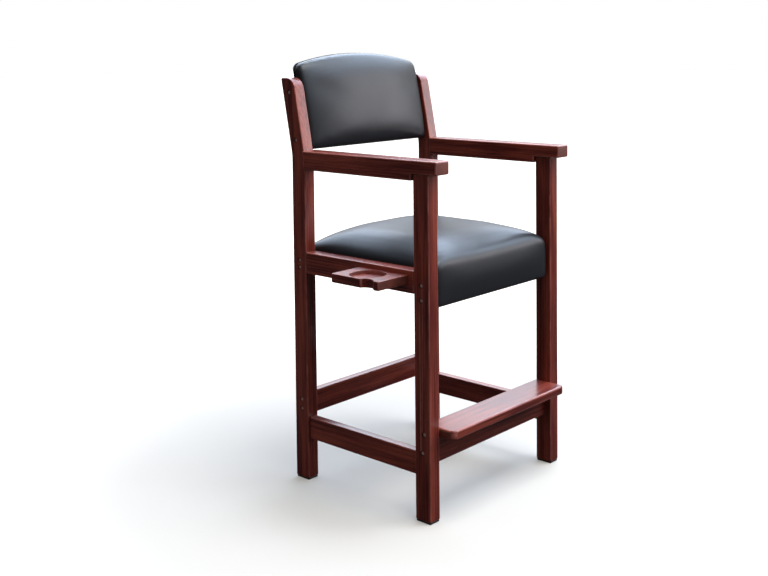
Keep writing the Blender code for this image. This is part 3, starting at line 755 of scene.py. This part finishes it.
def board_outline(count=72):
    """The back board's arched outline: a rectangle with round top corners, walked round."""
    points = []
    half, low, high = back_half - board_inset, back_low + board_inset, board_high
    for step in range(count):
        angle = math.tau * (step + 0.5) / count
        cosine, sine = math.cos(angle), math.sin(angle)
        reach = max(abs(cosine), abs(sine))
        across, along = half * cosine / reach, (low + high) / 2 + (high - low) / 2 * sine / reach
        across, along = round_corners(across, along, half, low, high, board_foot_corner, board_corner)
        points.append((across, along - arched(across, along, board_arch)))
    return points


back = crowned_block("padded_back", back_shape, 34, cover_leather)
swell(back, voxel=0.006, pressure=4, cap=0.005, held=back_held)
refine(back)
cut_out(back, slab_cutter(board_outline(), board_front, board_rear), bolt_room("back"))
hand_over(back, "black_leather", "back_cushion")
print("back faces:", len(back.data.polygons))

# %% [markdown]
# ## The panel behind the back
#
# A thin board covered in the same material closes the back from behind. Its cover is pulled round
# the edges, so they are soft, and its middle is a shade fuller. A crowned block of a few
# millimetres has just that form, so the same rule makes it, and it needs no simulation.

# %% The covered panel
panel_inset, panel_front, panel_rear = 0.0012, 0.0384, 0.0432
panel_edge, panel_fullness, panel_foot_corner = 0.002, 0.001, 0.003
panel_power, panel_rise = 8, 0.35


def panel_shape(u, v, w):
    """The panel's cover: a straight edge, a soft rim and a nearly flat face."""
    half, low, high = back_half - panel_inset, back_low + panel_inset, back_high - panel_inset
    a, b, across, along = spread(u, v, half, low, high)
    if w > top_layer:
        share = rim(a, panel_power) * rim(b, panel_power)
        behind = (panel_front + panel_edge + (panel_rear - panel_front - panel_edge) * share ** panel_rise
                  + panel_fullness * share)
    else:
        behind = panel_front + panel_edge * (w + 1) / 2
    across, along = round_corners(across, along, half, low, high,
                                  panel_foot_corner, back_corner - panel_inset)
    return raked @ Vector((-across, behind, along - arched(across, along)))


panel = crowned_block("covered_back_panel", panel_shape, 34, panel_leather)
panel.data.polygons.foreach_set("use_smooth", [True] * len(panel.data.polygons))
panel.data.set_sharp_from_angle(angle=math.radians(60))
hand_over(panel, "black_leather", "outside_back")
print("panel faces:", len(panel.data.polygons))

# %% [markdown]
# ## Metal
#
# The bolts have a bronzed lacquer, half flakes of metal and half binder, which is darker in the marks
# that handling leaves. The nuts and screws inside are zinc plated, which is bare metal. Both carry
# fine turning marks, so one group with two colours serves them, and only colour, roughness and
# height vary.

# %% Worked metal, as a group
worked_metal, wiring, given, out = effect("worked_metal", [
    ("Place", "Vector", None), ("Bright", "Color", None), ("Dull", "Color", None),
    ("Gloss", "Float", None)])
marks = wiring.noise(wiring.squeeze(given["Place"], (6, 1, 1)), 900, 3)
stains = wiring.span(wiring.noise(given["Place"], 300, 3), 0.4, 0.65)
wiring.feed(out, {
    "Colour": wiring.blend(stains, given["Bright"], given["Dull"]),
    "Roughness": wiring.math("MULTIPLY_ADD", marks, 0.2,
                             wiring.math("MULTIPLY_ADD", stains, 0.12, given["Gloss"])),
    "Height": marks})


def metal(name, bright, dull, gloss, metallic):
    """A metal with colours of its own."""
    made, wiring, shader = finish(name, {"Metallic": metallic})
    worked = wiring.add("ShaderNodeGroup", {"Place": wiring.place(), "Bright": bright, "Dull": dull,
                                            "Gloss": gloss}, node_tree=worked_metal)
    wiring.cover(shader, worked, 0.2, 0.00005)
    return made


bronze = metal("bronzed_bolts", colour(0.85, 0.62, 0.54), colour(0.55, 0.34, 0.29), 0.16, 0.4)
zinc = metal("zinc_plate", colour(0.66, 0.66, 0.63), colour(0.48, 0.49, 0.47), 0.28, 1.0)
print("worked metal nodes:", len(worked_metal.nodes))

# %% [markdown]
# ## Bolts
#
# Twenty equal bolts sit in pockets in the posts' outer faces. A shape that repeats is work for
# Geometry Nodes: one tree makes a bolt from its sizes, a head with a hexagonal socket on a plain
# shank, and sets it on every point of a small mesh, turned to that point's direction. The points
# come from the bolts of the CAD model, so each stays exactly where it is there.

# %% Trees that repeat a shape


def node_tree(name, sizes):
    """A Geometry Nodes tree with an input for each size, and one for the finish."""
    tree = bpy.data.node_groups.new(name, "GeometryNodeTree")
    for in_out in ("INPUT", "OUTPUT"):
        tree.interface.new_socket(name="Geometry", in_out=in_out, socket_type="NodeSocketGeometry")
    kinds = {int: "Int", float: "Float"}
    inputs = [(label, kinds[type(size)], size) for label, size in sizes.items()]
    sockets = declare(tree, inputs + [("Finish", "Material", None)])
    wiring = Wiring(tree)
    return tree, wiring, wiring.add("NodeGroupInput").outputs, wiring.add("NodeGroupOutput"), sockets


def repeat_shape(points, shape, rotation):
    """End the tree in hand: the shape on every point, as real geometry with its finish."""
    many = wiring.get("GeometryNodeInstanceOnPoints",
                      {"Points": points, "Instance": shape, "Rotation": rotation})
    real = wiring.get("GeometryNodeRealizeInstances", {"Geometry": many})
    done = wiring.get("GeometryNodeSetMaterial", {"Geometry": real, "Material": given["Finish"]})
    wiring.feed(out, {"Geometry": done})


def run_tree(piece, tree, sockets, values):
    """Run a tree on a piece, with its inputs set before it is first evaluated, and keep the result."""
    modifier = modified(piece, tree.name, "NODES", node_group=tree)
    for label, value in values.items():
        modifier[sockets[label]] = value
    settle(piece)


# %% A tree that makes bolts
bolt_sizes = {"Head Radius": 0.0059, "Head Height": 0.003, "Socket Radius": 0.0031,
              "Socket Depth": 0.0019, "Shank Radius": 0.003, "Shank Length": 0.086}
head_taper = 0.68
bolt_tree, wiring, given, out, bolt_sockets = node_tree("bolts_on_points", bolt_sizes)


def shifted(shape, distance):
    """A shape moved along Z."""
    offset = wiring.get("ShaderNodeCombineXYZ", {"Z": distance})
    return wiring.get("GeometryNodeTransform", {"Geometry": shape, "Translation": offset})


head = wiring.get("GeometryNodeMeshCone", {
    "Vertices": 24, "Radius Bottom": given["Head Radius"], "Depth": given["Head Height"],
    "Radius Top": wiring.math("MULTIPLY", given["Head Radius"], head_taper)})
shank = wiring.get("GeometryNodeMeshCylinder", {
    "Vertices": 16, "Radius": given["Shank Radius"], "Depth": given["Shank Length"]})
socket = wiring.get("GeometryNodeMeshCylinder", {
    "Vertices": 6, "Radius": given["Socket Radius"],
    "Depth": wiring.math("MULTIPLY", given["Socket Depth"], 2)})
body = wiring.add("GeometryNodeMeshBoolean", {"Mesh 2": head}, operation="UNION", solver="EXACT")
wiring.feed(body, {"Mesh 2": shifted(shank, wiring.math("MULTIPLY", given["Shank Length"], -0.5))})
whole = wiring.get("GeometryNodeMeshBoolean", {
    "Mesh 1": body.outputs["Mesh"], "Mesh 2": shifted(socket, given["Head Height"])},
    operation="DIFFERENCE", solver="EXACT")
outward = wiring.get("GeometryNodeInputNamedAttribute", {"Name": "outward"}, data_type="FLOAT_VECTOR")
facing = wiring.get("FunctionNodeAlignEulerToVector", {"Vector": outward}, axis="Z")
repeat_shape(given["Geometry"], whole, facing)
print("bolt tree nodes:", len(bolt_tree.nodes))

# %% Bolts at their places
bolt_names = sorted(name for name in nodes if "_bolt_" in name)
heads, directions = [], []
for name in bolt_names:
    low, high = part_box(name)
    side = -1 if low.x < chair_origin.x else 1
    middle = (low + high) / 2
    face_x = low.x if side < 0 else high.x
    heads.append((face_x - side * bolt_sizes["Head Height"], middle.y, middle.z))
    directions.append((side, 0, 0))
points = bpy.data.meshes.new("bolt_points")
points.from_pydata(heads, [], [])
outward = points.attributes.new("outward", "FLOAT_VECTOR", "POINT")
outward.data.foreach_set("vector", np.array(directions, float).ravel())
bolts = new_piece("hex_socket_bolts", points, bronze)
run_tree(bolts, bolt_tree, bolt_sockets, {**bolt_sizes, "Finish": bronze})
hand_over(bolts, "bronzed_steel", *bolt_names)
print("bolts:", len(bolt_names), "with", len(bolts.data.polygons), "faces")

# %% [markdown]
# ## Under the seat
#
# A thin black cloth hides the inside of the seat box from below, and staples hold it to the
# battens and the rear rail. A staple's crown is a bent wire, so the tree bends one short curve,
# gives it a round section, and repeats it along a path with a little disorder, from a fixed seed.

# %% A tree that makes staples
staple_sizes = {"Crown": 0.010, "Rise": 0.0009, "Wire": 0.00045, "Spacing": 0.043, "Disorder": 0.14,
                "Seed": 4}
staple_end, staple_bend = 0.4, -1.4
staple_tree, wiring, given, out, staple_sockets = node_tree("staples_on_path", staple_sizes)


def staple_point(share, height):
    """A point of the staple's crown, in shares of its width and its rise."""
    return wiring.get("ShaderNodeCombineXYZ", {
        "X": wiring.math("MULTIPLY", given["Crown"], share),
        "Z": wiring.math("MULTIPLY", given["Rise"], height)})


wire = wiring.get("GeometryNodeCurvePrimitiveBezierSegment", {
    "Start": staple_point(-0.5, staple_end), "Start Handle": staple_point(-0.5, staple_bend),
    "End Handle": staple_point(0.5, staple_bend), "End": staple_point(0.5, staple_end),
    "Resolution": 7})
section = wiring.get("GeometryNodeCurvePrimitiveCircle", {"Resolution": 6, "Radius": given["Wire"]})
staple = wiring.get("GeometryNodeCurveToMesh", {
    "Curve": wire, "Profile Curve": section, "Fill Caps": True})
path = wiring.get("GeometryNodeMeshToCurve", {"Mesh": given["Geometry"]})
beads = wiring.get("GeometryNodeResampleCurve", {"Curve": path, "Length": given["Spacing"]},
                   mode="LENGTH")
along = wiring.get("FunctionNodeAlignEulerToVector", {"Vector": wiring.get("GeometryNodeInputTangent")},
                   axis="X", pivot_axis="Z")
twist = wiring.add("FunctionNodeRandomValue", {
    2: wiring.math("MULTIPLY", given["Disorder"], -1), 3: given["Disorder"], "Seed": given["Seed"]},
    data_type="FLOAT")
twisted = wiring.get("FunctionNodeRotateEuler", {
    "Rotation": along, "Axis": (0, 0, 1), "Angle": twist.outputs[1]}, rotation_type="AXIS_ANGLE")
repeat_shape(beads, staple, twisted)
print("staple tree nodes:", len(staple_tree.nodes))

# %% Staples round the dust cloth
cloth_low, cloth_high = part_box("seat_dust_cover")
inset, front_inset, lift = 0.008, 0.02, 0.0004
left, right = cloth_low.x + inset, cloth_high.x - inset
front, rear = cloth_low.y + front_inset, cloth_high.y - inset
path_mesh = bpy.data.meshes.new("staple_path")
path_mesh.from_pydata([(x, y, cloth_low.z - lift) for x, y in (
    (left, front), (left, rear), (right, rear), (right, front))], [(0, 1), (1, 2), (2, 3)], [])
staples = new_piece("dust_cloth_staples", path_mesh, zinc)
run_tree(staples, staple_tree, staple_sockets, {**staple_sizes, "Finish": zinc})
hand_over(staples, "zinc_steel")
print("staples:", len(staples.data.polygons), "faces")

# %% [markdown]
# ## What is hidden or small
#
# The seat box is raw sawn lumber with a plywood deck, the nuts and tray screws are zinc plated, and
# each post stands on a hard plastic glide. These pieces keep their CAD shapes and get finishes of
# their own. Raw lumber is the same pattern as the frame's wood in pale colours, without lacquer.

# %% Raw wood, plastic and cloth


def raw_wood(name, turn, shades, ring_width):
    """Bare wood whose grain is turned to run along the piece."""
    made, wiring, shader = finish(name, {"Specular IOR Level": 0.3})
    place = wiring.get("ShaderNodeMapping", {"Vector": wiring.place(), "Location": (0.08, 0.11, 0.4),
                                             "Rotation": turn})
    light, dark, pores = shades
    grain = wiring.add("ShaderNodeGroup", {
        "Place": place, "Light Stain": light, "Dark Stain": dark, "Pores": pores,
        "Ring Width": ring_width, "Gloss": 0.62}, node_tree=wood_grain)
    wiring.cover(shader, grain, 0.6, 0.0005)
    return made


lumber_shades = colour(0.58, 0.42, 0.24), colour(0.46, 0.30, 0.16), colour(0.30, 0.18, 0.09)
plywood_shades = colour(0.62, 0.47, 0.30), colour(0.50, 0.36, 0.21), colour(0.34, 0.22, 0.12)
across_turn, along_turn = (0, math.pi / 2, 0), (math.pi / 2, 0, 0)
lumber_across = raw_wood("raw_lumber_across", across_turn, lumber_shades, 0.008)
lumber_along = raw_wood("raw_lumber_along", along_turn, lumber_shades, 0.009)
plywood = raw_wood("raw_plywood", across_turn, plywood_shades, 0.0021)

glide_plastic, wiring, shader = finish("glide_plastic", {"IOR": 1.5})
scuffs = wiring.span(wiring.noise(wiring.squeeze(wiring.place(), (1, 1, 3)), 260, 4), 0.45, 0.7)
wiring.feed(shader, {
    "Base Color": wiring.blend(scuffs, colour(0.016, 0.016, 0.017), colour(0.045, 0.044, 0.043)),
    "Roughness": wiring.math("MULTIPLY_ADD", scuffs, 0.25, 0.42)})
wiring.bump(shader, scuffs, 0.3, 0.0001)

dust_cloth, wiring, shader = finish("dust_cloth", {"Specular IOR Level": 0.2})
place = wiring.place()
threads = [wiring.add("ShaderNodeTexWave", {"Vector": place, "Scale": 260.0, "Distortion": 0.6,
                                            "Detail Scale": 3.0}, bands_direction=axis).outputs["Fac"]
           for axis in ("X", "Y")]
weave = wiring.math("MAXIMUM", *threads)
fluff = wiring.noise(place, 60, 4)
wiring.feed(shader, {
    "Base Color": wiring.blend(wiring.math("MULTIPLY", weave, fluff), colour(0.010, 0.010, 0.011),
                               colour(0.042, 0.042, 0.045)),
    "Roughness": wiring.math("MULTIPLY_ADD", fluff, 0.1, 0.86)})
wiring.bump(shader, weave, 0.5, 0.0003)
print("dust cloth nodes:", len(dust_cloth.node_tree.nodes))

# %% Finishes for the pieces that keep their CAD shape
looks = {"seat_front_rail": lumber_across, "seat_rear_rail": lumber_across,
         "seat_batten": lumber_along, "seat_deck": plywood, "back_board": plywood,
         "seat_dust_cover": dust_cloth, "_nut_": zinc, "tray_screw": zinc, "_glide": glide_plastic}
kept = {name: look for name in nodes for part, look in looks.items() if part in name}
for name, look in kept.items():
    nodes[name].material_slots[0].material = look
print("pieces that keep their CAD shape:", len(kept))

# %% [markdown]
# ## The room
#
# The photograph was taken in a white studio with two soft lights. A large one overhead gives most
# of the light, and its soft shadow falls to the left and behind. A broad window at the right, a
# little above the chair, brightens what faces it. The floor glows white to the camera all round,
# and less near the chair, so that the shadow shows. It throws little light back on the wood.

# %% The floor
floor_reach = 40
corners = [(-1, -1), (1, -1), (1, 1), (-1, 1)]
floor_mesh = bpy.data.meshes.new("studio_floor")
floor_mesh.from_pydata([(x * floor_reach, y * floor_reach, 0) for x, y in corners], [], [(0, 1, 2, 3)])
floor = placed("studio_floor", floor_mesh)

floor_paint, wiring, shader = finish("floor_paint", {
    "Roughness": 0.9, "Specular IOR Level": 0.0, "Emission Color": colour(1, 0.94, 0.84)})
camera_ray = wiring.add("ShaderNodeLightPath").outputs["Is Camera Ray"]
glow = wiring.span(wiring.length(wiring.place()), 0.75, 1.8, 0.165, 1.0)
wiring.feed(shader, {
    "Base Color": wiring.blend(camera_ray, colour(0.06, 0.06, 0.06), colour(0.575, 0.565, 0.545)),
    "Emission Strength": wiring.math("MULTIPLY", camera_ray, glow)})
floor_mesh.materials.append(floor_paint)
print("floor:", 2 * floor_reach, "m wide")

# %% [markdown]
# ## What is all round
#
# A gloss shows where a room's walls are, and matt wood only adds their light up, so the world
# answers by the kind of ray. Reflections see a room that is bright at the right: a white wall
# beyond the chair, so that the flat tops gleam, a dimmer room behind the photographer, and a bright
# band high up. Matt surfaces get a weak fill, most of it from behind. The camera sees white.

# %% The world
world = bpy.data.worlds.new("studio_room")
bpy.context.scene.world = world
world.use_nodes = True
world.node_tree.nodes.clear()
wiring = Wiring(world.node_tree)
direction = wiring.add("ShaderNodeTexCoord").outputs["Generated"]
sides = wiring.add("ShaderNodeSeparateXYZ", {0: direction})
x, y, z = (sides.outputs[axis] for axis in "XYZ")

right_side = wiring.math("MAXIMUM", wiring.span(x, -0.45, 0.35, 0.05, 1.0),
                         wiring.span(z, 0.25, 0.60, 0.0, 0.06))
wall = wiring.math("ADD", wiring.span(z, 0.13, 0.23, 0.45, 1.4), wiring.span(z, 0.29, 0.41, 0.0, 3.3))
near_room = wiring.span(z, 0.24, 0.48, 0.8, 2.6)
past_chair = wiring.add("ShaderNodeVectorMath", {0: direction, 1: (0.75, 0.66, 0.15)},
                        operation="DOT_PRODUCT")
room = wiring.mix(wiring.span(past_chair.outputs["Value"], 0.2, 0.9), near_room, wall)
band = wiring.math("MULTIPLY", wiring.span(z, 0.35, 0.6), wiring.span(z, 0.70, 0.85, 1.0, 0.0))
room = wiring.mix(band, room, wiring.span(x, 0.3, 0.7, 5.2, 8.2))
mirrored = wiring.math("MULTIPLY", right_side, room)
tint = wiring.blend(wiring.span(z, 0.20, 0.55), colour(1.0, 1.0, 1.0), colour(0.80, 0.97, 1.22))
fill = wiring.math("MAXIMUM", wiring.span(y, -0.6, 0.3, 0.08, 0.42),
                   wiring.span(x, -0.8, -0.3, 0.25, 0.08))

rays = wiring.add("ShaderNodeLightPath").outputs
shown = wiring.blend(rays["Is Diffuse Ray"], tint, colour(1.0, 0.98, 0.96))
shown = wiring.blend(rays["Is Camera Ray"], shown, colour(1.0, 1.0, 1.0))
strength = wiring.mix(rays["Is Diffuse Ray"], mirrored, fill)
strength = wiring.mix(rays["Is Camera Ray"], strength, 1.0)
background = wiring.get("ShaderNodeBackground", {"Color": shown, "Strength": strength})
wiring.add("ShaderNodeOutputWorld", {"Surface": background})
print("world nodes:", len(world.node_tree.nodes))

# %% The two lights


def softbox(name, azimuth, elevation, distance, aim, size, power, beam, tint):
    """A rectangular light that faces a point on the chair, with a grid that narrows its beam."""
    lamp = bpy.data.lights.new(name, "AREA")
    tune(lamp, shape="RECTANGLE", size=size[0], size_y=size[1], energy=power, color=tint,
         spread=math.radians(beam))
    made = placed(name, lamp)
    turn, climb = math.radians(azimuth), math.radians(elevation)
    away = Vector((math.sin(turn) * math.cos(climb), -math.cos(turn) * math.cos(climb), math.sin(climb)))
    tune(made, location=at(*aim) + away * distance, rotation_mode="QUATERNION",
         rotation_quaternion=(-away).to_track_quat("-Z", "Y"))


softbox("window_light", azimuth=49, elevation=9, distance=2.1, aim=(0, 0.1, 1.30), size=(3.4, 1.5),
        power=8.3, beam=46, tint=(1.0, 0.98, 1.03))
softbox("overhead_light", azimuth=14, elevation=70, distance=5.0, aim=(0, 0.25, 0.5), size=(3.1, 3.1),
        power=275, beam=180, tint=(1.0, 0.98, 0.94))
bpy.context.scene.view_settings.view_transform = "Standard"
print("lights:", [light.name for light in bpy.data.lights])
